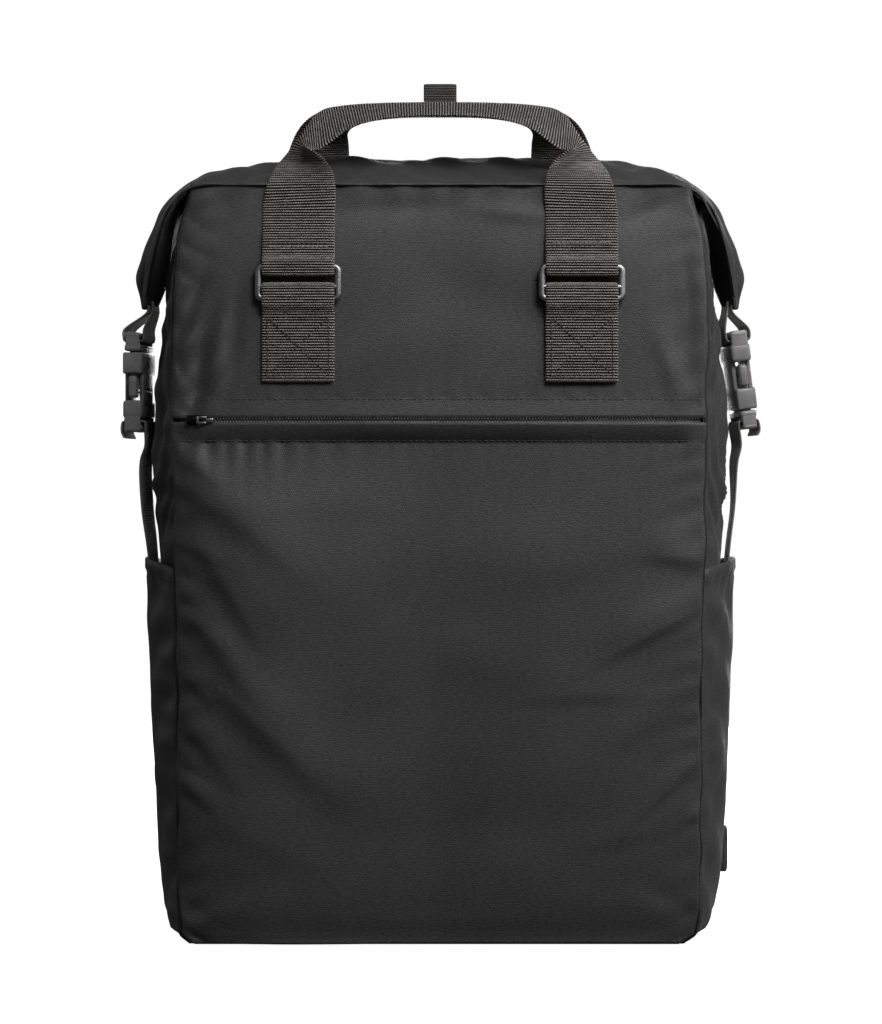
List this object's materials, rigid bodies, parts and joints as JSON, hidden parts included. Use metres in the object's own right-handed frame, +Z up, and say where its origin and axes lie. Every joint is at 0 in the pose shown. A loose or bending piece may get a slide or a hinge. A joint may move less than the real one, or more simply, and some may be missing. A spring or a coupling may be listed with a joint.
{
  "type": "laptop backpack",
  "caption": "Boxy laptop backpack with a folded-down top held by side buckles, webbing carrying handles, a zipped front pocket, open side pockets and padded shoulder straps.",
  "frame": {"origin": "under the middle of the body, on the underside of the flat base", "axes": "+Z up, front towards -Y, +X to the right as seen from the front"},
  "size_m": [0.3522, 0.1824, 0.4775],
  "materials": {
    "cloth": "black woven polyester with a fine level slub",
    "padded_cloth": "black padded polyester",
    "webbing": "ribbed dark grey polyester webbing",
    "plastic": "satin black moulded acetal",
    "metal": "satin black plated die-cast metal"
  },
  "bodies": {
    "root": {"front_panel_upper": "cloth", "front_panel_lower": "cloth", "gusset_left": "cloth", "gusset_right": "cloth", "gusset_fold_left": "cloth", "gusset_fold_right": "cloth", "back_panel": "padded_cloth", "base_panel": "cloth", "collar": "cloth", "side_pocket_left": "cloth", "side_pocket_right": "cloth", "front_piping_left": "cloth", "front_piping_right": "cloth", "yoke": "cloth", "zip_tape": "cloth", "zip_chain": "plastic", "zip_slider": "metal", "zip_pull": "metal", "handle_front": "webbing", "handle_back": "webbing", "hang_loop": "webbing", "front_patch_left": "webbing", "front_patch_right": "webbing", "slider_left": "metal", "slider_right": "metal", "ear_loop_left": "webbing", "ear_loop_right": "webbing", "buckle_socket_left": "plastic", "buckle_socket_right": "plastic", "buckle_prongs_left": "plastic", "buckle_prongs_right": "plastic", "side_strap_left": "webbing", "side_strap_right": "webbing", "shoulder_strap_left": "padded_cloth", "shoulder_strap_right": "padded_cloth", "adjuster_left": "plastic", "adjuster_right": "plastic", "lower_web_left": "webbing", "lower_web_right": "webbing", "anchor_tab_left": "webbing", "anchor_tab_right": "webbing"}
  },
  "joints": []
}
